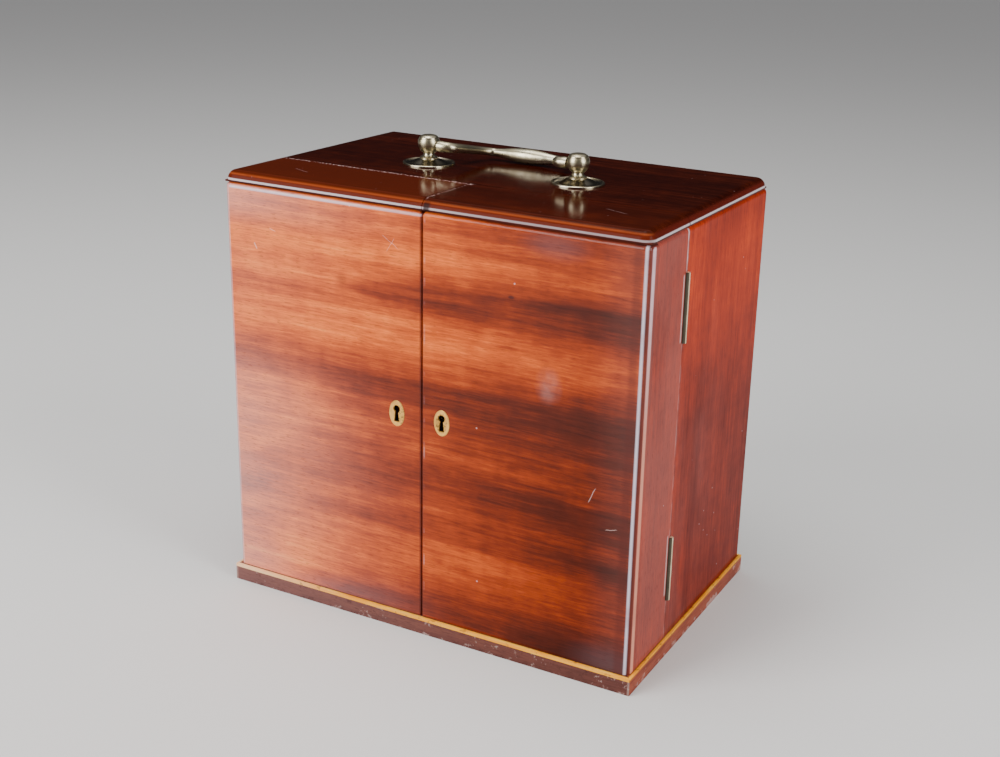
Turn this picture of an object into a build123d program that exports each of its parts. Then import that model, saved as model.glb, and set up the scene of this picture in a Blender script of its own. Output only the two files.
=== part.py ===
from build123d import *
import os

# Antique mahogany apothecary box with two deep front doors.
# Frame: millimetres, +Z up, the front faces -Y, the origin is on the floor under the middle of the box.

# Body and plinth
body_width = 280.0
body_depth = 180.0
body_height = 261.0
plinth_height = 11.0
plinth_overhang = 2.0
plinth_strip = 10.0
base_recess = 2.0
stringing = 2.0
mitre_gap = 0.1

# Doors: boxes that carry the front of the top as well
door_depth = 52.0
seam = 0.5
door_lift = 0.4
door_front_thickness = 10.0
door_side_thickness = 8.0
stile_thickness = 7.0
door_bottom_thickness = 7.0
corner_radius = 4.5
meeting_edge_radius = 1.3
arris_radius = 3.0

# Moulded top
top_thickness = 7.0
quirk_height = 1.0
quirk_depth = 0.7
top_corner_radius = 6.2
ovolo_flat = 0.1

# Carcass
side_thickness = 10.0
back_thickness = 8.0
back_corner_radius = 2.0
content_recess = 12.0
shelf_thickness = 6.0
upper_floor_height = 133.0
partition_thickness = 6.0
drawer_bay_height = 46.0

# Bottle racks
rail_thickness = 4.0
rail_height = 22.0
rail_lift = 20.0
divider_thickness = 3.0
door_cells = 3
carcass_cells = 5
carcass_rows = 2
carcass_divider_height = 45.0
rack_setback = 1.5

# Bottles and stoppers
door_bottle_play = 1.1
door_headroom = 20.6
carcass_bottle_play = 1.8
carcass_headroom = 20.0
bottle_corner = 5.0
shoulder_radius = 4.0
glass_wall = 3.0
glass_floor = 4.0
neck_radius = 8.0
neck_height = 9.0
neck_bore = 5.0
lip_radius = 10.0
lip_height = 3.0
plug_play = 0.1
plug_length = 8.0
plug_taper = 0.6
finial_radius = 8.5
finial_height = 9.0
finial_shoulder = 6.0
finial_waist = 6.0

# Drawers
drawer_play = 0.5
drawer_lift = 0.3
drawer_front_thickness = 8.0
drawer_wall = 5.0
drawer_floor = 3.0
drawer_back_gap = 3.0
drawer_side_drop = 3.0
knob_radius = 4.5
knob_stem_radius = 2.0
knob_stem_length = 3.5
knob_head = 4.0
knob_tail = 6.0
knob_tail_radius = 1.5
knob_fit = 0.05

# Hinges
hinge_length = 41.0
lower_hinge_rise = 46.5
upper_hinge_drop = 53.0
barrel_radius = 1.75
barrel_proud = 0.2
barrel_clearance = 0.3
leaf_thickness = 1.3
leaf_margin = 0.7
knuckle_count = 5
knuckle_gap = 0.15
pin_radius = 0.8
pin_play = 0.05
screw_radius = 1.0
screw_head_radius = 2.0
screw_length = 8.0
screw_spacing = 24.0
screw_play = 0.05

# Keyholes and escutcheons
keyhole_height = 141.0
right_keyhole_x = 14.0
left_keyhole_x = -17.0
escutcheon_half_width = 5.3
escutcheon_half_height = 8.1
escutcheon_thickness = 1.2
escutcheon_proud = 0.4
escutcheon_bevel = 0.3
escutcheon_fit = 0.05
keyhole_head_radius = 2.3
keyhole_head_lift = 2.9
keyhole_foot_drop = 5.2
keyhole_waist = 1.2
keyhole_foot = 1.8
dummy_keyhole_depth = 3.0

# Lock
lock_width = 22.0
lock_height = 30.0
lock_depth = 7.2
lock_wall = 1.3
lock_fit = 0.1
bolt_length = 17.0
bolt_height = 6.0
bolt_thickness = 4.0
bolt_lift = 8.5
bolt_play = 0.2
bolt_throw = 6.0
bolt_setback = 0.5
talon_width = 4.0
talon_depth = 2.0
key_swing_radius = 7.0
drill_pin_radius = 0.7
drill_pin_length = 4.0
keep_thickness = 1.5
keep_height = 18.0
keep_clearance = 0.6

# Handle
post_spacing = 104.0
rosette_radius = 16.3
rosette_height = 3.2
rosette_rim = 1.0
rosette_rim_width = 1.2
rosette_groove = 0.3
rosette_boss_radius = 6.0
rosette_dish = 0.25
collar_radius = 5.4
collar_height = 1.0
post_neck_radius = 3.3
neck_hollow = 0.3
ball_radius = 6.9
ball_height = 12.8
cap_line_rise = 2.9
cap_radius = 6.0
cap_rise = 2.6
stud_radius = 2.0
stud_play = 0.1
stud_below = 4.0
nut_radius = 4.6
nut_height = 3.0
pivot_height = 11.5
pivot_radius = 1.4
pivot_play = 0.08
pivot_depth = 3.8
pivot_end_play = 0.5
bail_end_gap = 0.3
bail_end_radius = 3.4
bail_end_length = 4.6
bail_end_crown = 0.06
bail_offset = 35.0
bail_rest_gap = 0.3
arm_start_radius = 3.2
arm_radius = 2.5
arm_sections = 8
arm_start_pull = 9.0
arm_end_pull = 12.0
grip_half_length = 23.0
grip_radius = 4.8
grip_taper_radius = 3.8
grip_taper_place = 0.55
grip_end_slope = 0.05

# Main planes worked out from the sizes above
top_z = plinth_height + body_height
board_top = top_z - top_thickness
half_width = body_width / 2
front_y = -body_depth / 2
back_y = body_depth / 2
hinge_y = front_y + door_depth
carcass_front = hinge_y + seam / 2
door_back = hinge_y - seam / 2
panel_back = front_y + door_front_thickness
door_floor = plinth_height + door_lift
door_meeting = seam / 2
side_inner = half_width - side_thickness
back_inner = back_y - back_thickness
content_front = carcass_front + content_recess
hinge_x = half_width + barrel_proud
hinge_centres = (plinth_height + lower_hinge_rise, top_z - upper_hinge_drop)
upper_floor = plinth_height + upper_floor_height
rack_floor = door_floor + door_bottom_thickness
rack_shelf_top = upper_floor
stile_inner = door_meeting + stile_thickness
door_inner = half_width - door_side_thickness
ovolo_radius = top_thickness - quirk_height - ovolo_flat
RIGHT = 1
LEFT = -1
NEAR = 0.01


def box_between(x_pair, y_pair, z_pair, mode=Mode.ADD):
    """A board, or a cut of a board's shape, between three pairs of planes."""
    with BuildSketch(Plane.XY.offset(min(z_pair))) as outline:
        with Locations((sum(x_pair) / 2, sum(y_pair) / 2)):
            Rectangle(abs(x_pair[1] - x_pair[0]), abs(y_pair[1] - y_pair[0]))
    extrude(outline.sketch, amount=abs(z_pair[1] - z_pair[0]), mode=mode)


def round_bar(start, direction, radius, length, mode=Mode.ADD):
    """A round bar or bore from a start point along a direction."""
    with BuildSketch(Plane(origin=start, z_dir=direction)) as section:
        Circle(radius)
    extrude(section.sketch, amount=length, mode=mode)


# ---------------------------------------------------------------- base and plinth

def plinth_run(turn, half_length, half_reach, bottom, top, thickness, trim):
    """One straight run of a mitred frame, on the side that `turn` degrees leads to."""
    with BuildSketch(Plane.XY.offset(bottom).rotated((0, 0, turn))) as run:
        with BuildLine():
            Polyline(
                (-half_length + trim, -half_reach),
                (half_length - trim, -half_reach),
                (half_length - thickness - trim, -half_reach + thickness),
                (-half_length + thickness + trim, -half_reach + thickness),
                close=True,
            )
        make_face()
    extrude(run.sketch, amount=top - bottom)


def string_rebate():
    """The rebate for the boxwood line round the upper edge of the plinth."""
    with BuildSketch(Plane.XY.offset(plinth_height - stringing)) as rebate:
        Rectangle(2 * plinth_x, 2 * plinth_y)
        Rectangle(2 * (plinth_x - stringing), 2 * (plinth_y - stringing), mode=Mode.SUBTRACT)
    extrude(rebate.sketch, amount=stringing, mode=Mode.SUBTRACT)


plinth_x = half_width + plinth_overhang
plinth_y = body_depth / 2 + plinth_overhang

with BuildPart() as base_board:
    base_x = plinth_x - plinth_strip
    base_y = plinth_y - plinth_strip
    box_between((-base_x, base_x), (-base_y, base_y), (base_recess, plinth_height))

with BuildPart() as plinth_front:
    plinth_run(0, plinth_x, plinth_y, 0, plinth_height, plinth_strip, 0)
    string_rebate()

with BuildPart() as plinth_back:
    plinth_run(180, plinth_x, plinth_y, 0, plinth_height, plinth_strip, 0)
    string_rebate()

with BuildPart() as plinth_ends:
    for turn in (90, 270):
        plinth_run(turn, plinth_y, plinth_x, 0, plinth_height, plinth_strip, 0)
    string_rebate()

with BuildPart() as plinth_stringing:
    string_z = plinth_height - stringing
    for turn in (0, 180):
        plinth_run(turn, plinth_x, plinth_y, string_z, plinth_height, stringing, mitre_gap)
    for turn in (90, 270):
        plinth_run(turn, plinth_y, plinth_x, string_z, plinth_height, stringing, mitre_gap)


# ---------------------------------------------------------------- hinges

def hinge_recess(side, facing):
    """Wood cut away at the seam for two butt hinges: leaf beds, barrel grooves and screw bores.

    `facing` is +1 in the carcass, behind the seam, and -1 in the door, in front of it.
    """
    face = hinge_y + facing * seam / 2
    for centre in hinge_centres:
        z_pair = (centre - hinge_length / 2, centre + hinge_length / 2)
        x_pair = (side * leaf_inner, side * (half_width + barrel_radius))
        y_pair = (face, face + facing * leaf_thickness)
        box_between(x_pair, y_pair, z_pair, mode=Mode.SUBTRACT)
        round_bar((side * hinge_x, hinge_y, z_pair[0]), (0, 0, 1),
                  barrel_radius + barrel_clearance, hinge_length, mode=Mode.SUBTRACT)
        for rise in (-screw_spacing / 2, screw_spacing / 2):
            round_bar((side * screw_x, face, centre + rise), (0, facing, 0),
                      screw_radius + screw_play, screw_length + screw_play, mode=Mode.SUBTRACT)


def hinge_leaf(side, facing):
    """One brass leaf with its knuckles for each hinge: three knuckles fixed, two on the door."""
    face = hinge_y + facing * seam / 2
    pitch = hinge_length / knuckle_count
    own = range(0, knuckle_count, 2) if facing > 0 else range(1, knuckle_count, 2)
    other = [n for n in range(knuckle_count) if n not in own]
    for centre in hinge_centres:
        low = centre - hinge_length / 2
        x_pair = (side * leaf_inner, side * hinge_x)
        y_pair = (face, face + facing * leaf_thickness)
        box_between(x_pair, y_pair, (low, low + hinge_length))
        for n in other:
            start = (side * hinge_x, hinge_y, low + n * pitch - knuckle_gap)
            round_bar(start, (0, 0, 1), barrel_radius + barrel_clearance,
                      pitch + 2 * knuckle_gap, mode=Mode.SUBTRACT)
        for n in own:
            start = (side * hinge_x, hinge_y, low + n * pitch)
            round_bar(start, (0, 0, 1), barrel_radius, pitch)
        round_bar((side * hinge_x, hinge_y, low), (0, 0, 1),
                  pin_radius + pin_play, hinge_length, mode=Mode.SUBTRACT)
        for rise in (-screw_spacing / 2, screw_spacing / 2):
            with Locations(Plane((side * screw_x, face, centre + rise), z_dir=(0, -facing, 0))):
                CounterSinkHole(screw_radius + screw_play, screw_head_radius + screw_play,
                                depth=leaf_thickness)


def hinge_screw(side, facing):
    """Countersunk wood screws, two in each leaf, with heads level with the leaf."""
    face = hinge_y + facing * seam / 2
    neck = screw_head_radius - screw_radius
    for centre in hinge_centres:
        for rise in (-screw_spacing / 2, screw_spacing / 2):
            plane = Plane((side * screw_x, face, centre + rise), x_dir=(1, 0, 0), z_dir=(0, 0, 1))
            with BuildSketch(plane) as profile:
                with BuildLine():
                    Polyline(
                        (0, 0),
                        (screw_head_radius, 0),
                        (screw_radius, facing * neck),
                        (screw_radius, facing * (screw_length - screw_radius)),
                        (0, facing * screw_length),
                        close=True,
                    )
                make_face()
            revolve(profile.sketch, axis=Axis((side * screw_x, face, centre + rise), (0, 1, 0)))


leaf_inner = max(side_inner, door_inner) + leaf_margin
screw_x = (leaf_inner + hinge_x - barrel_radius) / 2

with BuildPart() as hinge_leaves:
    for side in (LEFT, RIGHT):
        hinge_leaf(side, 1)

with BuildPart() as hinge_pins:
    for side in (LEFT, RIGHT):
        for centre in hinge_centres:
            round_bar((side * hinge_x, hinge_y, centre - hinge_length / 2), (0, 0, 1),
                      pin_radius, hinge_length)

with BuildPart() as hinge_screws:
    for side in (LEFT, RIGHT):
        hinge_screw(side, 1)


# ---------------------------------------------------------------- carcass

def carcass_side(side):
    """Side board with a rounded upper arris, cut for its two hinges."""
    with BuildPart() as board:
        box_between((side * side_inner, side * half_width), (carcass_front, back_y),
                    (plinth_height, board_top))
        outer = board.faces().sort_by(Axis.X)[-1 if side > 0 else 0]
        fillet(outer.edges().sort_by(Axis.Z)[-1], radius=arris_radius)
        back_edges = board.edges().filter_by(Axis.Z).group_by(Axis.Y)[-1].sort_by(Axis.X)
        fillet(back_edges[-1 if side > 0 else 0], radius=back_corner_radius)
        hinge_recess(side, 1)
    return board


carcass_side_left = carcass_side(LEFT)
carcass_side_right = carcass_side(RIGHT)

with BuildPart() as carcass_back:
    box_between((-side_inner, side_inner), (back_inner, back_y), (plinth_height, board_top))
    upper_edge = carcass_back.edges().filter_by(Axis.X).group_by(Axis.Z)[-1].sort_by(Axis.Y)[-1]
    fillet(upper_edge, radius=arris_radius)


def moulded_slab(x_pair, y_pair, rounded_x, rounded_y):
    """A board of the top: a quirk below, an ovolo on the outer edges, and rounded outer corners."""
    x_low, x_high = sorted(x_pair)
    y_low, y_high = sorted(y_pair)

    def inset(depth):
        """The slab's outline, drawn in by `depth` on its moulded sides."""
        return (
            (x_low + depth * (x_low in rounded_x), x_high - depth * (x_high in rounded_x)),
            (y_low + depth * (y_low in rounded_y), y_high - depth * (y_high in rounded_y)),
        )

    with BuildPart() as slab:
        for depth, low, high in (
            (0, board_top + quirk_height, top_z),
            (quirk_depth, board_top, board_top + quirk_height),
        ):
            xs, ys = inset(depth)
            with BuildSketch(Plane.XY.offset(low)) as outline:
                with Locations((sum(xs) / 2, sum(ys) / 2)):
                    Rectangle(xs[1] - xs[0], ys[1] - ys[0])
                corners = [v for v in outline.vertices()
                           if any(abs(v.X - x) < NEAR for x in rounded_x)
                           and any(abs(v.Y - y) < NEAR for y in rounded_y)]
                fillet(corners, radius=top_corner_radius - depth)
            extrude(amount=high - low)
        plain_x = [x for x in x_pair if x not in rounded_x]
        plain_y = [y for y in y_pair if y not in rounded_y]
        rim = [e for e in slab.edges().group_by(Axis.Z)[-1]
               if all(abs(e.center().X - x) > NEAR for x in plain_x)
               and all(abs(e.center().Y - y) > NEAR for y in plain_y)]
        fillet(rim, radius=ovolo_radius)
    return slab


carcass_top = moulded_slab((-half_width, half_width), (carcass_front, back_y),
                           (-half_width, half_width), (back_y,))
with carcass_top:
    with Locations(Plane.XY.offset(top_z)):
        with Locations(*[(x, 0) for x in (-post_spacing / 2, post_spacing / 2)]):
            Hole(stud_radius + stud_play)

with BuildPart() as bottle_shelf:
    box_between((-side_inner, side_inner), (content_front, back_inner),
                (upper_floor - shelf_thickness, upper_floor))

drawer_ceiling = plinth_height + drawer_bay_height

with BuildPart() as drawer_shelf:
    box_between((-side_inner, side_inner), (content_front, back_inner),
                (drawer_ceiling, drawer_ceiling + shelf_thickness))

with BuildPart() as partition:
    box_between((-partition_thickness / 2, partition_thickness / 2), (content_front, back_inner),
                (plinth_height, drawer_ceiling))

rail_back = content_front + rail_thickness
cell_pitch = (2 * side_inner + divider_thickness) / carcass_cells
row_pitch = (back_inner - rail_back + divider_thickness) / carcass_rows

with BuildPart() as bottle_rail:
    box_between((-side_inner, side_inner), (content_front, rail_back),
                (upper_floor, upper_floor + carcass_divider_height))

with BuildPart() as bottle_cross_divider:
    cross_y = rail_back + row_pitch - divider_thickness
    box_between((-side_inner, side_inner), (cross_y, cross_y + divider_thickness),
                (upper_floor, upper_floor + carcass_divider_height))

with BuildPart() as bottle_dividers:
    for n in range(1, carcass_cells):
        x = -side_inner + n * cell_pitch - divider_thickness
        for y_pair in ((rail_back, cross_y), (cross_y + divider_thickness, back_inner)):
            box_between((x, x + divider_thickness), y_pair,
                        (upper_floor, upper_floor + carcass_divider_height))


# ---------------------------------------------------------------- bottles

def square_bottles(centres, floors, width, height):
    """Square glass bottles with rounded shoulders, a short neck and a flat lip."""
    with BuildPart() as glass:
        for floor in floors:
            with BuildSketch(Plane.XY.offset(floor)):
                with Locations(*centres):
                    RectangleRounded(width, width, bottle_corner)
            extrude(amount=height)
        for floor in floors:
            shoulder = glass.edges().filter_by_position(Axis.Z, floor + height - NEAR,
                                                        floor + height + NEAR)
            fillet(shoulder, radius=shoulder_radius)
        for floor in floors:
            with BuildSketch(Plane.XY.offset(floor + height)):
                with Locations(*centres):
                    Circle(neck_radius)
            extrude(amount=neck_height)
            with BuildSketch(Plane.XY.offset(floor + height + neck_height)):
                with Locations(*centres):
                    Circle(lip_radius)
            extrude(amount=lip_height)
            with BuildSketch(Plane.XY.offset(floor + glass_floor)):
                with Locations(*centres):
                    RectangleRounded(width - 2 * glass_wall, width - 2 * glass_wall,
                                     bottle_corner - glass_wall)
            extrude(amount=height - glass_floor - shoulder_radius, mode=Mode.SUBTRACT)
            with BuildSketch(Plane.XY.offset(floor + glass_floor)):
                with Locations(*centres):
                    Circle(neck_bore)
            extrude(amount=height + neck_height + lip_height, mode=Mode.SUBTRACT)
    return glass


def glass_stoppers(centres, floors, height):
    """Ground stoppers: a tapered plug in the neck under a waisted flat-topped finial."""
    with BuildPart() as stoppers:
        for floor in floors:
            lip = floor + height + neck_height + lip_height
            for x, y in centres:
                with BuildSketch(Plane((x, y, lip), x_dir=(1, 0, 0), z_dir=(0, -1, 0))):
                    with BuildLine():
                        plug_top = neck_bore - plug_play
                        Polyline(
                            (0, -plug_length),
                            (plug_top - plug_taper, -plug_length),
                            (plug_top, 0),
                            (finial_waist, 0),
                            (finial_radius, finial_shoulder),
                            (finial_waist, finial_height),
                            (0, finial_height),
                            close=True,
                        )
                    make_face()
                revolve(axis=Axis((x, y, lip), (0, 0, 1)))
    return stoppers


carcass_centres = [
    (-side_inner + (i + 0.5) * cell_pitch - divider_thickness / 2,
     rail_back + (j + 0.5) * row_pitch - divider_thickness / 2)
    for i in range(carcass_cells) for j in range(carcass_rows)
]
bottle_top = neck_height + lip_height + finial_height
carcass_bottle_width = min(cell_pitch, row_pitch) - divider_thickness - 2 * carcass_bottle_play
carcass_bottle_height = board_top - upper_floor - carcass_headroom - bottle_top
carcass_bottles = square_bottles(carcass_centres, (upper_floor,), carcass_bottle_width,
                                 carcass_bottle_height)
carcass_stoppers = glass_stoppers(carcass_centres, (upper_floor,), carcass_bottle_height)


# ---------------------------------------------------------------- doors

def keyhole_outline(x):
    """Keyhole outline in the front plane: a round head, a waist and a flared foot."""
    head = keyhole_height + keyhole_head_lift
    foot = keyhole_height - keyhole_foot_drop
    with Locations((x, head)):
        Circle(keyhole_head_radius)
    with BuildLine() as lower_part:
        Polyline(
            (x - keyhole_waist, head),
            (x + keyhole_waist, head),
            (x + keyhole_waist, head - keyhole_head_radius),
            (x + keyhole_foot, foot),
            (x - keyhole_foot, foot),
            (x - keyhole_waist, head - keyhole_head_radius),
            close=True,
        )
    make_face(lower_part.edges())


def front_plane(y):
    """A plane parallel to the front at depth `y`, with +X to the right and Z upward."""
    return Plane(origin=(0, y, 0), x_dir=(1, 0, 0), z_dir=(0, -1, 0))


def door_front(side, keyhole_x):
    """Front board: rounded outer corner and upper arris, an oval bed and a keyhole."""
    with BuildPart() as board:
        with BuildSketch(Plane.XY.offset(door_floor)) as outline:
            with Locations((side * (door_meeting + half_width) / 2, (front_y + panel_back) / 2)):
                Rectangle(half_width - door_meeting, door_front_thickness)
            front_corners = outline.vertices().group_by(Axis.Y)[0].sort_by(lambda v: abs(v.X))
            fillet(front_corners[-1], radius=corner_radius)
            fillet(outline.vertices().group_by(Axis.Y)[0].sort_by(lambda v: abs(v.X))[0],
                   radius=meeting_edge_radius)
        extrude(amount=board_top - door_floor)
        upper = [e for e in board.edges().group_by(Axis.Z)[-1]
                 if e.center().Y < panel_back - NEAR
                 and abs(e.center().X) > door_meeting + meeting_edge_radius]
        fillet(upper, radius=arris_radius)
        with BuildSketch(front_plane(front_y)):
            with Locations((keyhole_x, keyhole_height)):
                Ellipse(escutcheon_half_width + escutcheon_fit, escutcheon_half_height + escutcheon_fit)
        extrude(amount=-(escutcheon_thickness - escutcheon_proud), mode=Mode.SUBTRACT)
        with BuildSketch(front_plane(front_y)):
            keyhole_outline(keyhole_x)
        through = door_front_thickness if side == RIGHT else dummy_keyhole_depth
        extrude(amount=-through, mode=Mode.SUBTRACT)
        if side == RIGHT:
            box_between((door_meeting, lock_end + lock_fit), (lock_front - lock_fit, panel_back),
                        (lock_low - lock_fit, lock_high + lock_fit), mode=Mode.SUBTRACT)
        else:
            box_between((-door_meeting, -door_meeting - keep_thickness),
                        (lock_front - lock_fit, panel_back),
                        (keep_low, keep_low + keep_height), mode=Mode.SUBTRACT)
            box_between((-door_meeting, -door_meeting - bolt_throw - keep_clearance),
                        (bolt_y[0] - keep_clearance, bolt_y[1] + keep_clearance),
                        (bolt_z[0] - keep_clearance, bolt_z[1] + keep_clearance), mode=Mode.SUBTRACT)
    return board


def door_side(side):
    """Outer board of a door, behind its front board, cut for the two hinges."""
    with BuildPart() as board:
        box_between((side * door_inner, side * half_width), (panel_back, door_back),
                    (door_floor, board_top))
        outer = board.faces().sort_by(Axis.X)[-1 if side > 0 else 0]
        fillet(outer.edges().sort_by(Axis.Z)[-1], radius=arris_radius)
        hinge_recess(side, -1)
    return board


def door_stile(side):
    """Board along the meeting side of a door, behind its front board."""
    with BuildPart() as board:
        box_between((side * door_meeting, side * stile_inner), (panel_back, door_back),
                    (door_floor, board_top))
    return board


def door_top(side):
    """The front part of the moulded top, which swings with its door."""
    return moulded_slab((side * door_meeting, side * half_width), (front_y, door_back),
                        (side * half_width,), (front_y,))


def door_level(side, low, high):
    """A board right across the inside of a door."""
    with BuildPart() as board:
        box_between((side * stile_inner, side * door_inner), (panel_back, door_back), (low, high))
    return board


def rack_rails(side):
    """Two rails that keep the bottles in their cells."""
    with BuildPart() as rails:
        for floor in rack_floors:
            box_between((side * stile_inner, side * door_inner), (rack_rail_front, rack_rail_back),
                        (floor + rail_lift, floor + rail_lift + rail_height))
    return rails


def rack_dividers(side):
    """Thin uprights between the bottles of each tier."""
    with BuildPart() as uprights:
        for floor in rack_floors:
            for n in range(1, door_cells):
                x = stile_inner + n * door_cell_pitch - divider_thickness
                box_between((side * x, side * (x + divider_thickness)), (panel_back, rack_rail_front),
                            (floor, floor + rail_lift + rail_height))
    return uprights


def escutcheon(keyhole_x):
    """Oval brass plate with a bevelled edge round the keyhole."""
    with BuildPart() as plate:
        with BuildSketch(front_plane(front_y - escutcheon_proud)):
            with Locations((keyhole_x, keyhole_height)):
                Ellipse(escutcheon_half_width, escutcheon_half_height)
        extrude(amount=-escutcheon_thickness)
        chamfer(plate.faces().sort_by(Axis.Y)[0].edges(), length=escutcheon_bevel)
        with BuildSketch(front_plane(front_y - escutcheon_proud)):
            keyhole_outline(keyhole_x)
        extrude(amount=-escutcheon_thickness, mode=Mode.SUBTRACT)
    return plate


lock_front = panel_back - lock_depth
lock_end = door_meeting + lock_width
lock_low = keyhole_height - lock_height / 2
lock_high = keyhole_height + lock_height / 2
bolt_z = (keyhole_height + bolt_lift - bolt_height / 2, keyhole_height + bolt_lift + bolt_height / 2)
bolt_y = (lock_front + lock_wall + bolt_play, lock_front + lock_wall + bolt_play + bolt_thickness)
keep_low = keyhole_height + bolt_lift - keep_height / 2
rack_floors = (rack_floor, rack_shelf_top)
rack_rail_back = door_back - rack_setback
rack_rail_front = rack_rail_back - rail_thickness
door_cell_pitch = (door_inner - stile_inner + divider_thickness) / door_cells
door_cell = (door_cell_pitch - divider_thickness, rack_rail_front - panel_back)
door_bottle_width = min(door_cell) - 2 * door_bottle_play
door_tier_height = min(rack_shelf_top - shelf_thickness - rack_floor, board_top - rack_shelf_top)
door_bottle_height = door_tier_height - door_headroom - bottle_top

door_pieces = {}
for side, word, keyhole_x in ((LEFT, "left", left_keyhole_x), (RIGHT, "right", right_keyhole_x)):
    bottle_y = (panel_back + rack_rail_front) / 2
    centres = [(side * (stile_inner + (n + 0.5) * door_cell_pitch - divider_thickness / 2), bottle_y)
               for n in range(door_cells)]
    with BuildPart() as door_leaves:
        hinge_leaf(side, -1)
    with BuildPart() as door_screws:
        hinge_screw(side, -1)
    door_pieces.update({
        f"{word}_door_front": door_front(side, keyhole_x),
        f"{word}_door_side": door_side(side),
        f"{word}_door_stile": door_stile(side),
        f"{word}_door_top": door_top(side),
        f"{word}_door_bottom": door_level(side, door_floor, rack_floor),
        f"{word}_rack_shelf": door_level(side, rack_shelf_top - shelf_thickness, rack_shelf_top),
        f"{word}_rack_rails": rack_rails(side),
        f"{word}_rack_dividers": rack_dividers(side),
        f"{word}_rack_bottles": square_bottles(centres, rack_floors, door_bottle_width,
                                               door_bottle_height),
        f"{word}_rack_stoppers": glass_stoppers(centres, rack_floors, door_bottle_height),
        f"{word}_escutcheon": escutcheon(keyhole_x),
        f"{word}_door_leaves": door_leaves,
        f"{word}_door_screws": door_screws,
    })


# ---------------------------------------------------------------- lock in the right door

with BuildPart() as lock_case:
    box_between((door_meeting, lock_end), (lock_front, panel_back), (lock_low, lock_high))
    box_between((door_meeting, lock_end - lock_wall),
                (bolt_y[0] - bolt_play, bolt_y[1] + bolt_play),
                (bolt_z[0] - bolt_play, bolt_z[1] + bolt_play), mode=Mode.SUBTRACT)
    with BuildSketch(front_plane(lock_front + lock_wall)):
        with Locations((right_keyhole_x, keyhole_height + keyhole_head_lift)):
            Circle(key_swing_radius)
    extrude(amount=-(bolt_thickness + 2 * bolt_play), mode=Mode.SUBTRACT)
    with BuildSketch(front_plane(lock_front)):
        keyhole_outline(right_keyhole_x)
    extrude(amount=-lock_wall, mode=Mode.SUBTRACT)
    round_bar((right_keyhole_x, panel_back - lock_wall, keyhole_height + keyhole_head_lift),
              (0, -1, 0), drill_pin_radius, drill_pin_length)

with BuildPart() as lock_bolt:
    bolt_start = door_meeting + bolt_setback
    box_between((bolt_start, bolt_start + bolt_length), bolt_y, bolt_z)
    box_between((right_keyhole_x - talon_width / 2, right_keyhole_x + talon_width / 2), bolt_y,
                (bolt_z[0], bolt_z[0] + talon_depth), mode=Mode.SUBTRACT)

with BuildPart() as lock_keep:
    box_between((-door_meeting - keep_thickness, -door_meeting), (lock_front, panel_back),
                (keep_low, keep_low + keep_height))
    box_between((-door_meeting - keep_thickness, -door_meeting),
                (bolt_y[0] - keep_clearance, bolt_y[1] + keep_clearance),
                (bolt_z[0] - keep_clearance, bolt_z[1] + keep_clearance), mode=Mode.SUBTRACT)


# ---------------------------------------------------------------- drawers

drawer_inner_x = partition_thickness / 2 + drawer_play
drawer_outer_x = side_inner - drawer_play
drawer_low = plinth_height + drawer_lift
drawer_high = drawer_ceiling - drawer_play
drawer_back = back_inner - drawer_back_gap
drawer_front_back = content_front + drawer_front_thickness


def drawer_front(side):
    """Drawer front with the bore for its knob."""
    with BuildPart() as board:
        box_between((side * drawer_inner_x, side * drawer_outer_x), (content_front, drawer_front_back),
                    (drawer_low, drawer_high))
        round_bar((side * knob_x, content_front, knob_z), (0, 1, 0), knob_tail_radius + knob_fit,
                  knob_tail + knob_fit, mode=Mode.SUBTRACT)
    return board


def drawer_tray(side):
    """Sides, back and bottom of a drawer, glued up as one tray."""
    with BuildPart() as tray:
        box_between((side * drawer_inner_x, side * drawer_outer_x), (drawer_front_back, drawer_back),
                    (drawer_low, drawer_high - drawer_side_drop))
        box_between((side * (drawer_inner_x + drawer_wall), side * (drawer_outer_x - drawer_wall)),
                    (drawer_front_back, drawer_back - drawer_wall),
                    (drawer_low + drawer_floor, drawer_high), mode=Mode.SUBTRACT)
    return tray


def drawer_knob(side):
    """Small turned brass knob with a tail in the drawer front."""
    with BuildPart() as knob:
        base = (side * knob_x, content_front, knob_z)
        with BuildSketch(Plane(base, x_dir=(1, 0, 0), z_dir=(0, 0, 1))):
            with BuildLine():
                stem = -knob_stem_length
                Polyline(
                    (0, knob_tail),
                    (knob_tail_radius, knob_tail),
                    (knob_tail_radius, 0),
                    (knob_stem_radius, 0),
                    (knob_stem_radius, stem),
                    (knob_radius, stem - knob_head / 2),
                )
                Bezier((knob_radius, stem - knob_head / 2), (knob_radius, stem - knob_head),
                       (0, stem - knob_head))
                Line((0, stem - knob_head), (0, knob_tail))
            make_face()
        revolve(axis=Axis(base, (0, 1, 0)))
    return knob


knob_x = (drawer_inner_x + drawer_outer_x) / 2
knob_z = (drawer_low + drawer_high) / 2


# ---------------------------------------------------------------- handle

def profile_plane(x):
    """An upright plane through a post, with the radius along X and height above the top along Z."""
    return Plane(origin=(x, 0, top_z), x_dir=(1, 0, 0), z_dir=(0, -1, 0))


post_places = (-post_spacing / 2, post_spacing / 2)
bail_end_x = post_spacing / 2 - ball_radius - bail_end_gap

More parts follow.
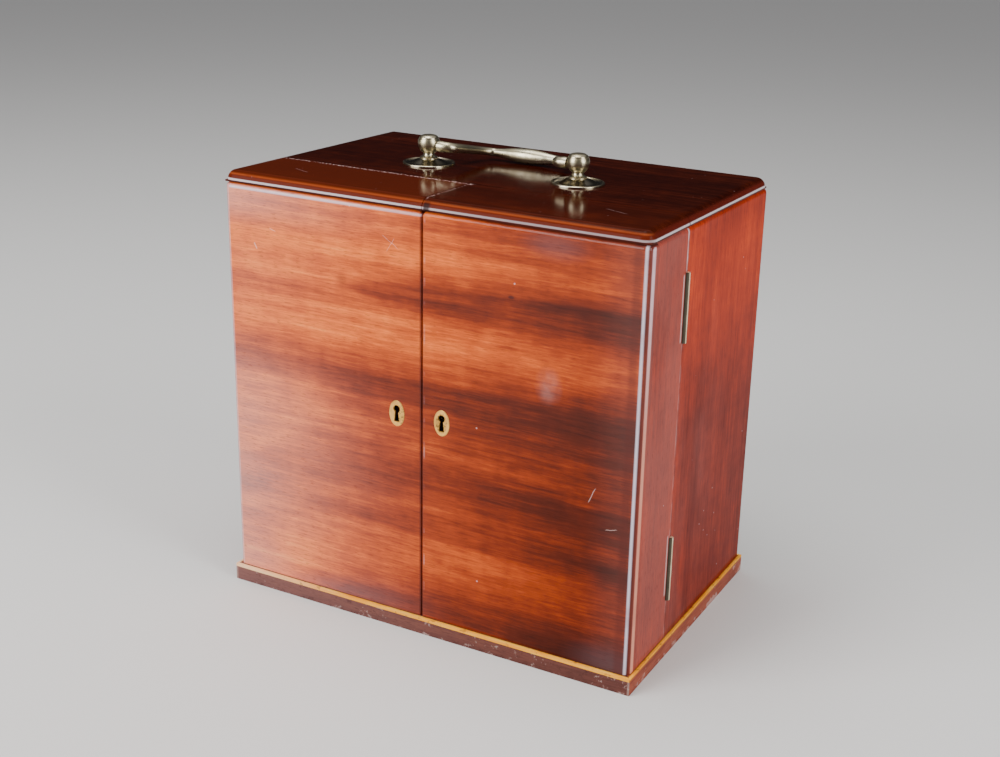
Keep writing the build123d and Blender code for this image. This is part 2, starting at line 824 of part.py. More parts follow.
with BuildPart() as handle_rosettes:
    for x in post_places:
        with BuildSketch(profile_plane(x)):
            with BuildLine():
                rim_inner = rosette_radius - rosette_rim_width
                Polyline((stud_radius + stud_play, rosette_height), (stud_radius + stud_play, 0),
                         (rosette_radius, 0), (rosette_radius, rosette_rim / 2))
                TangentArc((rosette_radius, rosette_rim / 2), (rim_inner, rosette_rim), tangent=(0, 1))
                Line((rim_inner, rosette_rim), (rim_inner - rosette_groove, rosette_rim - rosette_groove))
                Spline((rim_inner - rosette_groove, rosette_rim - rosette_groove),
                       (rosette_boss_radius, rosette_height),
                       tangents=((-1, 0), (-1, rosette_dish)))
                Line((rosette_boss_radius, rosette_height), (stud_radius + stud_play, rosette_height))
            make_face()
        revolve(axis=Axis((x, 0, 0), (0, 0, 1)))

with BuildPart() as handle_posts:
    neck_z = ball_height - (ball_radius**2 - post_neck_radius**2) ** 0.5
    cap_line_z = ball_height + cap_line_rise
    cap_line_radius = (ball_radius**2 - cap_line_rise**2) ** 0.5
    collar_top = rosette_height + collar_height
    for x in post_places:
        with BuildSketch(profile_plane(x)):
            with BuildLine():
                Polyline(
                    (0, -top_thickness - stud_below),
                    (stud_radius, -top_thickness - stud_below),
                    (stud_radius, rosette_height),
                    (collar_radius, rosette_height),
                    (collar_radius, collar_top),
                )
                ThreePointArc((collar_radius, collar_top),
                              (post_neck_radius + neck_hollow * (collar_radius - post_neck_radius),
                               collar_top + neck_hollow * (neck_z - collar_top)),
                              (post_neck_radius, neck_z))
                ThreePointArc((post_neck_radius, neck_z), (ball_radius, ball_height),
                              (cap_line_radius, cap_line_z))
                Line((cap_line_radius, cap_line_z), (cap_radius, cap_line_z))
                Bezier((cap_radius, cap_line_z), (cap_radius, cap_line_z + cap_rise),
                       (0, cap_line_z + cap_rise))
                Line((0, cap_line_z + cap_rise), (0, -top_thickness - stud_below))
            make_face()
        revolve(axis=Axis((x, 0, 0), (0, 0, 1)))
    for side in (LEFT, RIGHT):
        round_bar((side * bail_end_x, 0, top_z + pivot_height), (side, 0, 0), pivot_radius + pivot_play,
                  bail_end_gap + pivot_depth + pivot_end_play, mode=Mode.SUBTRACT)

with BuildPart() as handle_nuts:
    with BuildSketch(Plane.XY.offset(board_top - nut_height)):
        with Locations(*[(x, 0) for x in post_places]):
            RegularPolygon(nut_radius, side_count=6)
            Circle(stud_radius + stud_play, mode=Mode.SUBTRACT)
    extrude(amount=nut_height)

grip_rest_height = grip_radius + bail_rest_gap
bail_drop = pivot_height - grip_rest_height
bail_reach = (bail_offset**2 - bail_drop**2) ** 0.5
bail_plane = Plane(
    origin=(0, 0, top_z + pivot_height),
    x_dir=(1, 0, 0),
    z_dir=(0, bail_drop / bail_offset, bail_reach / bail_offset),
)
arm_start_x = bail_end_x - bail_end_length
arm_end_x = grip_half_length

with BuildPart() as bail:
    with BuildSketch(bail_plane):
        with BuildLine():
            Polyline(
                (arm_start_x, 0),
                (bail_end_x + bail_end_gap + pivot_depth, 0),
                (bail_end_x + bail_end_gap + pivot_depth, pivot_radius),
                (bail_end_x, pivot_radius),
                (bail_end_x, bail_end_radius),
            )
            ThreePointArc((bail_end_x, bail_end_radius),
                          (bail_end_x - bail_end_length / 2, bail_end_radius + bail_end_crown),
                          (arm_start_x, arm_start_radius))
            Line((arm_start_x, arm_start_radius), (arm_start_x, 0))
        make_face()
    revolve(axis=Axis((0, 0, top_z + pivot_height), (1, 0, 0)))
    with BuildLine(bail_plane) as arm_path:
        Bezier((arm_start_x, 0), (arm_start_x - arm_start_pull, 0),
               (arm_end_x + arm_end_pull, bail_offset), (arm_end_x, bail_offset))
    for n in range(arm_sections + 1):
        place = n / arm_sections
        across = Plane(origin=arm_path.line @ place, x_dir=bail_plane.z_dir,
                       z_dir=arm_path.line % place)
        with BuildSketch(across):
            Circle(arm_radius + (arm_start_radius - arm_radius) * (1 - place) ** 2)
    loft()
    with BuildSketch(bail_plane):
        with BuildLine():
            Line((0, bail_offset), (0, bail_offset + grip_radius))
            Spline((0, bail_offset + grip_radius),
                   (grip_half_length * grip_taper_place, bail_offset + grip_taper_radius),
                   (grip_half_length, bail_offset + arm_radius),
                   tangents=((1, 0), (1, -grip_end_slope)))
            Polyline((grip_half_length, bail_offset + arm_radius), (grip_half_length, bail_offset),
                     (0, bail_offset))
        make_face()
    revolve(axis=Axis(bail_plane.from_local_coords((0, bail_offset, 0)), (1, 0, 0)))
    mirror(about=Plane.YZ)


# ---------------------------------------------------------------- writing the pieces

pieces = {
    "base_board": base_board,
    "plinth_front": plinth_front,
    "plinth_back": plinth_back,
    "plinth_ends": plinth_ends,
    "plinth_stringing": plinth_stringing,
    "carcass_side_left": carcass_side_left,
    "carcass_side_right": carcass_side_right,
    "carcass_back": carcass_back,
    "carcass_top": carcass_top,
    "bottle_shelf": bottle_shelf,
    "bottle_rail": bottle_rail,
    "bottle_cross_divider": bottle_cross_divider,
    "bottle_dividers": bottle_dividers,
    "carcass_bottles": carcass_bottles,
    "carcass_stoppers": carcass_stoppers,
    "drawer_shelf": drawer_shelf,
    "partition": partition,
    "hinge_leaves": hinge_leaves,
    "hinge_pins": hinge_pins,
    "hinge_screws": hinge_screws,
    "lock_case": lock_case,
    "lock_bolt": lock_bolt,
    "lock_keep": lock_keep,
    "handle_rosettes": handle_rosettes,
    "handle_posts": handle_posts,
    "handle_nuts": handle_nuts,
    "handle_bail": bail,
    **door_pieces,
}
for side, word in ((LEFT, "left"), (RIGHT, "right")):
    pieces[f"{word}_drawer_front"] = drawer_front(side)
    pieces[f"{word}_drawer_tray"] = drawer_tray(side)
    pieces[f"{word}_drawer_knob"] = drawer_knob(side)

os.makedirs("parts", exist_ok=True)
for name, piece in pieces.items():
    piece.part.label = name
    export_step(piece.part, f"parts/{name}.step")
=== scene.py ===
import math

import bpy
from mathutils import Matrix, Vector


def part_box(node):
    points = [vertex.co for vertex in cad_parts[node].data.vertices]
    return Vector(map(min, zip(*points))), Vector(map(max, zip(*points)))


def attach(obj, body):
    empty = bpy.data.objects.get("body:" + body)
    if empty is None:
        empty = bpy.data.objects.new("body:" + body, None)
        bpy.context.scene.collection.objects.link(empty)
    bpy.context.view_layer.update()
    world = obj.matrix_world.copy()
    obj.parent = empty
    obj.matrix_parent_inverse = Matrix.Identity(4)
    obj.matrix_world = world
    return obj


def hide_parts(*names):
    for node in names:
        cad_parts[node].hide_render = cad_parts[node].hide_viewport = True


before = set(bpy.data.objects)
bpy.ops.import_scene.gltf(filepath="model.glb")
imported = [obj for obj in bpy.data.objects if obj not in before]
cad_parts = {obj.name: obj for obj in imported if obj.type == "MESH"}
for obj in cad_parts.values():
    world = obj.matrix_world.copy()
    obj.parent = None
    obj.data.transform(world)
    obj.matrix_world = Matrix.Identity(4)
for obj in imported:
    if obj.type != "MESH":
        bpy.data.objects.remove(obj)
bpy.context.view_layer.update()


# ---------------------------------------------------------------- camera
# A viewer standing to the right of the box looks down on it from just under a metre away.
# The head is tipped slightly, so the uprights lean.
camera_place = (0.4143, -0.7395, 0.4396)
camera_turn = math.radians(26.45)
camera_dip = math.radians(18.8)
camera_tilt = math.radians(2.03)

camera_data = bpy.data.cameras.new("camera")
camera_data.sensor_width = 36.0
camera_data.lens = 50.5
camera_data.shift_x = -0.0628
camera_data.shift_y = -0.0159
camera_data.clip_start = 0.01
camera = bpy.data.objects.new("camera", camera_data)
camera.matrix_world = (
    Matrix.Translation(camera_place)
    @ Matrix.Rotation(camera_turn, 4, "Z")
    @ Matrix.Rotation(math.pi / 2 - camera_dip, 4, "X")
    @ Matrix.Rotation(camera_tilt, 4, "Z")
)
bpy.context.scene.collection.objects.link(camera)
bpy.context.scene.camera = camera


# ---------------------------------------------------------------- floor and light
# A plain pale floor runs back to the horizon under a dim grey room with a lighter ceiling.
# Three large soft lamps stand to the front left, to the right and overhead.
floor_reach = 30.0
floor_mesh = bpy.data.meshes.new("floor")
floor_mesh.from_pydata(
    [(x * floor_reach, y * floor_reach, 0.0) for x, y in ((-1, -1), (1, -1), (1, 1), (-1, 1))],
    [],
    [(0, 1, 2, 3)],
)
floor = bpy.data.objects.new("floor", floor_mesh)
bpy.context.scene.collection.objects.link(floor)
floor_material = bpy.data.materials.new("pale_floor")
floor_material.use_nodes = True
floor_shader = floor_material.node_tree.nodes["Principled BSDF"]
floor_shader.inputs["Base Color"].default_value = (0.72, 0.71, 0.69, 1)
floor_shader.inputs["Roughness"].default_value = 0.6
floor_shader.inputs["Specular IOR Level"].default_value = 0.2
floor_mesh.materials.append(floor_material)

room = bpy.data.worlds.new("room")
room.use_nodes = True
room_nodes = room.node_tree.nodes
room_links = room.node_tree.links
room_direction = room_nodes.new("ShaderNodeTexCoord")
room_height = room_nodes.new("ShaderNodeSeparateXYZ")
room_links.new(room_direction.outputs["Generated"], room_height.inputs[0])
room_ramp = room_nodes.new("ShaderNodeValToRGB")
room_ramp.color_ramp.elements[0].position = 0.48
room_ramp.color_ramp.elements[0].color = (0.022, 0.022, 0.026, 1)
room_ramp.color_ramp.elements[1].position = 0.95
room_ramp.color_ramp.elements[1].color = (0.75, 0.75, 0.77, 1)
room_links.new(room_height.outputs["Z"], room_ramp.inputs[0])
room_links.new(room_ramp.outputs[0], room_nodes["Background"].inputs["Color"])
bpy.context.scene.world = room


def soft_lamp(name, place, width, height, watts):
    """A softbox at a place, turned towards the middle of the box."""
    data = bpy.data.lights.new(name, "AREA")
    data.shape = "RECTANGLE"
    data.size = width
    data.size_y = height
    data.energy = watts
    lamp = bpy.data.objects.new(name, data)
    aim = Vector((0, 0, 0.13)) - Vector(place)
    lamp.matrix_world = Matrix.Translation(place) @ aim.to_track_quat("-Z", "Y").to_matrix().to_4x4()
    bpy.context.scene.collection.objects.link(lamp)


soft_lamp("lamp_front_left", (-1.0, -1.5, 0.9), 1.2, 1.2, 40.0)
soft_lamp("lamp_right", (1.7, -0.3, 0.9), 0.8, 1.4, 26.0)
soft_lamp("lamp_overhead", (-0.2, -0.2, 1.9), 1.4, 1.0, 22.0)


# ---------------------------------------------------------------- plinth
# Four mahogany strips mitred round the foot of the box and glued to its base board.
# They are stained dark and scuffed along their lower edge and at the corners.
class Signal:
    """A socket inside a finish; sums and products of it become Math nodes."""

    def __init__(self, finish, socket):
        self.finish = finish
        self.socket = socket

    def work_out(self, operation, first, second=0.0):
        return self.finish.node("ShaderNodeMath", {"operation": operation}, {0: first, 1: second})

    def __add__(self, other):
        return self.work_out("ADD", self, other)

    def __sub__(self, other):
        return self.work_out("SUBTRACT", self, other)

    def __rsub__(self, other):
        return self.work_out("SUBTRACT", other, self)

    def __mul__(self, other):
        return self.work_out("MULTIPLY", self, other)

    def __truediv__(self, other):
        return self.work_out("DIVIDE", self, other)

    def __rtruediv__(self, other):
        return self.work_out("DIVIDE", other, self)

    def __pow__(self, other):
        return self.work_out("POWER", self, other)

    def __abs__(self):
        return self.work_out("ABSOLUTE", self)

    __radd__ = __add__
    __rmul__ = __mul__


class Finish:
    """The look of one kind of piece: a Principled shader and the nodes that feed it."""

    def __init__(self, name, constants):
        self.material = bpy.data.materials.new(name)
        self.material.use_nodes = True
        self.tree = self.material.node_tree
        self.shader = self.tree.nodes["Principled BSDF"]
        for socket, value in constants.items():
            self.shader.inputs[socket].default_value = value
        self.place = self.node("ShaderNodeTexCoord", {}, {}, "Object")
        self.axes = {
            letter: self.node("ShaderNodeSeparateXYZ", {}, {0: self.place}, letter) for letter in "XYZ"
        }
        self.x, self.y, self.z = self.axes.values()
        self.colour = None

    def node(self, kind, settings, sockets, output=0):
        """Adds a node, sets it up, gives its sockets values or links, and returns one output."""
        made = self.tree.nodes.new(kind)
        for name, value in settings.items():
            if name != "stops":
                setattr(made, name, value)
        if "stops" in settings:
            elements = made.color_ramp.elements
            elements.remove(elements[1])
            elements[0].position, elements[0].color = settings["stops"][0]
            for position, colour in settings["stops"][1:]:
                elements.new(position).color = colour
        for name, value in sockets.items():
            if isinstance(value, Signal):
                self.tree.links.new(value.socket, made.inputs[name])
            else:
                made.inputs[name].default_value = value
        return Signal(self, made.outputs[output])

    def join(self, x, y, z):
        return self.node("ShaderNodeCombineXYZ", {}, {0: x, 1: y, 2: z})

    def noise(self, vector, scale=1.0, detail=2.0, roughness=0.5):
        return self.node("ShaderNodeTexNoise", {},
                         {"Vector": vector, "Scale": scale, "Detail": detail, "Roughness": roughness})

    def step(self, value, low, high):
        """0 below `low`, 1 above `high`, and smooth in between."""
        return self.node("ShaderNodeMapRange", {"interpolation_type": "SMOOTHSTEP"},
                         {"Value": value, "From Min": low, "From Max": high})

    def fade(self, value, low, high):
        """1 below `low`, 0 above `high`, and smooth in between."""
        return 1 - self.step(value, low, high)

    def near(self, value, target, inner, outer):
        """1 within `inner` of the target, fading to 0 at `outer` to either side of it."""
        return self.fade(abs(value - target), inner, outer)

    def shades(self, value, stops):
        """A run of colours along a value, from (place, (red, green, blue)) stops."""
        return self.node("ShaderNodeValToRGB", {"stops": [(at, (*rgb, 1)) for at, rgb in stops]},
                         {0: value})

    def mix(self, factor, first, second):
        """`first` where the factor is 0 and `second` where it is 1; plain tuples are colours."""
        first, second = (c if isinstance(c, Signal) else (*c, 1) for c in (first, second))
        return self.node("ShaderNodeMix", {"data_type": "RGBA"}, {0: factor, 6: first, 7: second}, 2)

    def paint(self, cover, colour):
        """Lays a colour over what is there already, as thickly as `cover` says from 0 to 1."""
        self.colour = self.mix(cover, self.colour, colour)

    def feed(self, **signals):
        """Links the colour, and signals such as roughness=..., to the shader's sockets."""
        for name, signal in {"base_color": self.colour, **signals}.items():
            self.tree.links.new(signal.socket, self.shader.inputs[name.replace("_", " ").title()])

    def relief(self, height, depth, strength):
        """Raises and lowers the surface by up to `depth` metres."""
        bump = self.node("ShaderNodeBump", {},
                         {"Strength": strength, "Distance": depth, "Height": height})
        self.tree.links.new(bump.socket, self.shader.inputs["Normal"])

    def specks(self, spacing, size, share):
        """Small round marks about `spacing` metres apart, on a share of the places."""
        cells = {"Vector": self.place, "Scale": 1 / spacing}
        reach = self.node("ShaderNodeTexVoronoi", {}, cells, "Distance")
        chance = self.node("ShaderNodeTexVoronoi", {}, cells, "Color")
        dots = self.fade(reach, size / spacing * 0.6, size / spacing)
        return dots * self.step(chance, 1 - share, 1.02 - share)

    def scratch(self, axes, start, end, width):
        """A thin, slightly wavy mark between two points of the plane of two axes."""
        run = Vector(end) - Vector(start)
        across = run.orthogonal().normalized()
        run_unit = run.normalized()
        u = self.axes[axes[0]] - start[0]
        v = self.axes[axes[1]] - start[1]
        along = u * run_unit.x + v * run_unit.y
        sway = (self.noise(self.place, scale=260.0, detail=3.0) - 0.5) * 0.0016
        off = abs(u * across.x + v * across.y + sway)
        begun = self.step(along, 0.0, run.length * 0.15)
        unfinished = self.fade(along, run.length * 0.8, run.length)
        return self.fade(off, width * 0.4, width) * begun * unfinished


def grain(finish, order, stripes, wander=0.006, shift=0.0, depth=1.0):
    """Tone and pores of mahogany whose grain runs along the first axis of `order`.

    `stripes` is about how many broad bands a metre holds, and `wander` how far they stray.
    """
    along, across, through = (finish.axes[letter] for letter in order)
    drift = finish.noise(finish.join(along * 9.0, across * 12.0, through * 12.0)) - 0.5
    level = across + drift * wander
    bands = finish.noise(finish.join(along * 1.8, level * stripes, through * stripes), detail=3.0)
    streaks = finish.noise(finish.join(along * 12.0, level * 330.0, through * 330.0), detail=3.0)
    fibres = finish.noise(finish.join(along * 60.0, level * 800.0, through * 800.0), detail=4.0,
                          roughness=0.65)
    mottle = finish.noise(finish.join(along * 110.0, level * 60.0, through * 60.0), detail=4.0)
    flecks = finish.noise(finish.join(along * 180.0, across * 1500.0, through * 1500.0))
    pores = finish.step(flecks, 0.58, 0.68)
    tone = (bands - 0.5) * 0.8 + (streaks - 0.5) * 0.6 + (fibres - 0.5) * 1.0 + (mottle - 0.5) * 0.35
    return tone * depth + 0.5 + shift, pores


def dress(finish, *nodes):
    """Gives CAD pieces a finish through their own material slots."""
    for name in nodes:
        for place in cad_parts[name].material_slots:
            place.link = "OBJECT"
            place.material = finish.material


plinth_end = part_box("plinth_ends")[1].x
plinth_wood = Finish("plinth_wood", {
    "Specular IOR Level": 0.0, "Coat Weight": 0.35, "Coat Roughness": 0.18})
plinth_tone, plinth_pores = grain(plinth_wood, "XZY", stripes=90.0, depth=0.7)
plinth_wood.colour = plinth_wood.shades(plinth_tone, (
    (0.15, (0.070, 0.024, 0.020)),
    (0.50, (0.125, 0.040, 0.031)),
    (0.90, (0.205, 0.070, 0.048)),
))
plinth_left_sheen = plinth_wood.fade(plinth_wood.x, -0.150, 0.080)
plinth_wear = plinth_wood.noise(plinth_wood.place, scale=190.0, detail=6.0, roughness=0.7)
plinth_low = plinth_wood.fade(plinth_wood.z, 0.0, 0.0025)
plinth_corner = plinth_wood.step(plinth_wood.x, plinth_end - 0.024, plinth_end)
plinth_scuff = plinth_wood.step(plinth_wear + plinth_low * 0.05 + plinth_corner * 0.05, 0.60, 0.68)
plinth_bruise = plinth_wood.step(plinth_wear - plinth_low * 0.10, 0.40, 0.34)
plinth_mitre = plinth_wood.near(abs(plinth_wood.x), plinth_end - 0.0005, 0.0004, 0.0012)
# Painted light: the strips are laid paler towards the left, a painted sheen of the light falling from the
# left.
plinth_wood.paint(plinth_left_sheen * 0.18, (0.40, 0.24, 0.24))
plinth_wood.paint(plinth_scuff * 0.55, (0.52, 0.38, 0.34))
plinth_wood.paint(plinth_pores * 0.35 + plinth_bruise * 0.3, (0.03, 0.01, 0.008))
plinth_wood.paint(plinth_mitre * 0.35, (0.60, 0.42, 0.36))
plinth_wood.feed(roughness=0.32 + plinth_scuff * 0.3)
plinth_wood.relief(plinth_wear - plinth_pores * 0.5, 0.0004, 0.4)
dress(plinth_wood, "plinth_front", "plinth_back")

end_wood = Finish("plinth_end_wood", {
    "Specular IOR Level": 0.0, "Coat Weight": 0.30, "Coat Roughness": 0.18})
end_tone, end_pores = grain(end_wood, "YZX", stripes=90.0)
end_wood.colour = end_wood.shades(end_tone, (
    (0.15, (0.170, 0.035, 0.020)),
    (0.50, (0.290, 0.062, 0.034)),
    (0.90, (0.400, 0.105, 0.058)),
))
end_wear = end_wood.noise(end_wood.place, scale=110.0, detail=6.0, roughness=0.65)
end_low = end_wood.fade(end_wood.z, 0.001, 0.006)
end_rear = end_wood.step(end_wood.y, -0.040, -0.010)
end_scuff = end_wood.step(end_wear + end_low * 0.05 + end_rear * end_low * 0.09, 0.60, 0.68)
end_wood.paint(end_scuff * 0.55, (0.60, 0.38, 0.33))
end_wood.paint(end_pores * 0.4, (0.06, 0.02, 0.012))
end_wood.feed(roughness=0.32 + end_scuff * 0.3)
end_wood.relief(end_wear - end_pores * 0.5, 0.0004, 0.4)
dress(end_wood, "plinth_ends")


# ---------------------------------------------------------------- boxwood line
# A square boxwood string let into the upper edge of the plinth and polished over.
# It has gone a warm honey yellow, with dark dirt in spots and a painted shadow along its inner edge under
# the doors.
line_low, line_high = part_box("plinth_stringing")
line_middle = (line_low.z + line_high.z) / 2

boxwood = Finish("boxwood", {
    "Specular IOR Level": 0.0, "Coat Weight": 0.10, "Coat Roughness": 0.15})
line_tint = boxwood.noise(boxwood.join(boxwood.x * 60.0, boxwood.y * 60.0, boxwood.z * 900.0), detail=4.0)
boxwood.colour = boxwood.shades(line_tint, (
    (0.30, (0.94, 0.320, 0.018)),
    (0.50, (1.00, 0.410, 0.030)),
    (0.70, (1.00, 0.510, 0.075)),
))
line_past_x = abs(boxwood.x) - line_high.x
line_past_y = abs(boxwood.y) - line_high.y
line_past = boxwood.node("ShaderNodeMath", {"operation": "MAXIMUM"}, {0: line_past_x, 1: line_past_y})
line_joint_shadow = boxwood.fade(line_past, -0.0017, -0.0012)
line_end_face = boxwood.step(line_past_x, -0.0002, -0.0001)
line_lower_half = boxwood.fade(boxwood.z, line_middle - 0.0002, line_middle + 0.0002)
line_left_sheen = boxwood.fade(boxwood.x, -0.150, -0.040)
line_dirt = boxwood.step(boxwood.noise(boxwood.place, scale=210.0, detail=4.0), 0.61, 0.68)
# Painted light: the string is laid paler towards the left, where the light falls from the left.
boxwood.paint(line_left_sheen * 0.55, (1.00, 0.80, 0.62))
boxwood.paint(line_end_face * line_lower_half * 0.85, (0.300, 0.066, 0.034))
# Dark dirt in spots, and painted shadow along the inner edge next to the doors.
boxwood.paint(line_dirt * 0.4 + line_joint_shadow * 0.7, (0.14, 0.045, 0.018))
boxwood.feed(roughness=0.35 + line_dirt * 0.2)
boxwood.relief(line_tint - line_dirt * 0.6, 0.0003, 0.5)
dress(boxwood, "plinth_stringing")


# ---------------------------------------------------------------- sides
# Solid mahogany boards with upright grain, the rear ones part of the carcass and the front ones
# part of the doors. They are French polished, with a dull bloom low down and fine knocks.
side_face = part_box("carcass_side_right")[1].x
seam_y = (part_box("right_door_side")[1].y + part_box("carcass_side_right")[0].y) / 2
seam_shine_bottom = 0.236
hinge_shine_heights = (0.0605, 0.2190)
hinge_shine_half_length = 0.0185


def upright_wood(finish):
    """Colour, haze and pores of the upright boards."""
    upper = finish.step(finish.z, 0.120, 0.235) - finish.step(finish.z, 0.235, 0.262) * 0.35
    rear = finish.step(finish.y, seam_y - 0.002, seam_y + 0.002)
    cloud = finish.noise(finish.join(finish.y * 22.0, finish.z * 16.0, 4.0), detail=5.0)
    tone, pores = grain(finish, "ZYX", stripes=48.0, wander=0.005, depth=0.8,
                        shift=upper * rear * 0.42 + (cloud - 0.5) * 0.50 - 0.12 - rear * 0.12)
    colour = finish.shades(tone, (
        (0.05, (0.115, 0.010, 0.006)),
        (0.36, (0.230, 0.023, 0.011)),
        (0.62, (0.390, 0.033, 0.010)),
        (0.95, (0.620, 0.060, 0.011)),
    ))
    bloom = finish.noise(finish.join(finish.y * 14.0, finish.z * 7.0, 0.0), detail=5.0)
    haze = finish.step(bloom + (1 - rear) * 0.20 - upper * rear * 0.20, 0.36, 0.74)
    haze = haze * (1 - finish.step(finish.y, -0.020, 0.050) * 0.95)
    colour = finish.mix(haze * 0.24, colour, (0.58, 0.22, 0.19))
    return finish.mix(pores * 0.35, colour, (0.06, 0.008, 0.006)), haze, pores


side_wood = Finish("mahogany_side", {
    "Specular IOR Level": 0.0, "Coat Weight": 0.26, "Coat Roughness": 0.12})
side_wood.colour, side_haze, side_pores = upright_wood(side_wood)
side_skin = side_wood.step(abs(side_wood.x), side_face - 0.0014, side_face - 0.0006)
# A pale line along the seam between door and carcass, strongest near the top: partly a worn arris and
# partly a painted highlight on its rounded edge.
side_breaks = side_wood.step(
    side_wood.noise(side_wood.join(0.0, 0.0, side_wood.z * 60.0), detail=4.0), 0.40, 0.60)
side_seam_wear_and_shine = side_wood.step(side_wood.z, seam_shine_bottom, seam_shine_bottom + 0.006) * (
    0.30 + side_breaks * 0.30) + side_breaks * 0.16
side_seam = side_wood.near(side_wood.y, seam_y - 0.0006, 0.0005, 0.0014) * side_seam_wear_and_shine
# Pale strips on the door side beside each hinge: a painted highlight on the edges of the hinge mortises.
beside_hinges = sum(
    side_wood.near(side_wood.z, height, hinge_shine_half_length, hinge_shine_half_length + 0.002)
    for height in hinge_shine_heights)
side_hinge_shine = side_wood.near(side_wood.y, seam_y - 0.0037, 0.0004, 0.0013) * beside_hinges * 0.5
side_marks = side_wood.specks(0.010, 0.0006, 0.45)
# Fine pale knocks, and the painted highlights along the seam and beside the hinges.
side_wood.paint(side_marks * 0.35 + (side_seam + side_hinge_shine) * side_skin, (0.78, 0.64, 0.64))
side_wood.feed(roughness=0.30 + side_haze * 0.16)
side_wood.relief(side_marks - side_pores * 0.6, 0.0002, 0.35)
dress(side_wood, "carcass_side_left", "carcass_side_right", "left_door_side", "right_door_side")


# ---------------------------------------------------------------- back and inside boards
# Plain mahogany boards, waxed and not polished: the back, the shelves, the racks and the drawers.
# They are darker and duller than the outside, and rubbed paler in broad patches.
inner_wood = Finish("mahogany_inner", {"Coat Weight": 0.12, "Coat Roughness": 0.3})
inner_tone, inner_pores = grain(inner_wood, "XZY", stripes=40.0)
inner_wood.colour = inner_wood.shades(inner_tone, (
    (0.15, (0.125, 0.035, 0.015)),
    (0.50, (0.240, 0.073, 0.030)),
    (0.85, (0.360, 0.122, 0.050)),
))
inner_rub = inner_wood.noise(inner_wood.place, scale=24.0, detail=4.0)
inner_wood.paint(inner_wood.step(inner_rub, 0.55, 0.75) * 0.35, (0.40, 0.19, 0.10))
inner_wood.paint(inner_pores * 0.6, (0.05, 0.018, 0.010))
inner_wood.feed(roughness=0.42 + inner_rub * 0.2)
inner_wood.relief(inner_rub * 0.3 - inner_pores, 0.0003, 0.4)
dress(inner_wood, "base_board", "carcass_back", "bottle_shelf", "bottle_rail", "bottle_cross_divider",
      "bottle_dividers", "drawer_shelf", "partition")
for side in ("left", "right"):
    dress(inner_wood, f"{side}_door_stile", f"{side}_door_bottom", f"{side}_rack_shelf",
          f"{side}_rack_rails", f"{side}_rack_dividers", f"{side}_drawer_front", f"{side}_drawer_tray")


# ---------------------------------------------------------------- door fronts
# Two boards cut from one plank, so that its level figure runs straight across both doors.
# They are French polished to a deep orange brown, with darker bands, a knot and old scuffs.
front_low, front_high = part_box("right_door_front")
corner_radius = 0.0045
main_band = 0.2165
half_band = 0.1440
plain_bands = (
    # height above the floor, half width, darkness (below 0 for a pale band)
    (0.256, 0.006, 0.10), (0.238, 0.007, -0.08), (0.228, 0.002, 0.05), (0.206, 0.004, 0.12),
    (0.186, 0.010, -0.10), (0.171, 0.003, 0.08), (0.158, 0.008, 0.32), (0.111, 0.002, 0.10),
    (0.102, 0.007, 0.20), (0.080, 0.005, 0.13), (0.050, 0.012, -0.14), (0.019, 0.010, 0.30),
)
front_scratches = (
    # start and end across and up the fronts, and width
    ((0.1100, 0.1130), (0.1145, 0.1235), 0.00030),
    ((-0.1185, 0.2305), (-0.1165, 0.2262), 0.00060),
    ((-0.1070, 0.2405), (-0.1020, 0.2390), 0.00030),
    ((-0.0270, 0.2480), (-0.0150, 0.2405), 0.00015),
    ((-0.0180, 0.2470), (-0.0240, 0.2380), 0.00015),
    ((0.1210, 0.0990), (0.1290, 0.1010), 0.00030),
)

front_wood = Finish("mahogany_front", {
    "Specular IOR Level": 0.0, "Coat Weight": 0.40, "Coat Roughness": 0.10})
front_x, front_y, front_z = front_wood.x, front_wood.y, front_wood.z
front_drift = front_wood.noise(front_wood.join(front_x * 14.0, front_z * 22.0, 3.0), detail=4.0) - 0.5
front_bow = (front_x - 0.045) ** 2 * front_wood.fade(front_z, 0.060, 0.150)
front_rise = front_x * front_wood.step(front_z, 0.120, 0.210) * 0.034
front_level = front_z + front_bow - front_rise + front_drift * 0.009


def figure_band(height, half_width, darkness):
    """A soft level band of the figure, paler than the wood round it where darkness is below 0."""
    return -darkness / (1 + ((front_level - height) / half_width) ** 4)


def front_patch(x, z, squeeze, inner, outer, ragged=0.0):
    """An oval patch of the fronts: 1 within `inner` of its middle, fading to 0 at `outer`.

    `squeeze` shortens distances across and up, and `ragged` breaks the edge with the drift.
    """
    across, up = squeeze
    reach = front_wood.node("ShaderNodeVectorMath", {"operation": "DISTANCE"}, {
        0: front_wood.join(front_x * across, front_z * up, front_drift * ragged),
        1: (x * across, z * up, 0.0),
    }, "Value")
    return front_wood.fade(reach, inner, outer)


main_band_point = front_x - abs(front_level - main_band) * 4.0 + front_drift * 0.030
front_bands = (
    figure_band(main_band, 0.006, 0.40) * front_wood.step(main_band_point, -0.075, -0.035)
    + figure_band(half_band, 0.009, 0.18) * front_wood.step(front_x, -0.050, 0.050)
    + sum(figure_band(*band) for band in plain_bands)
)
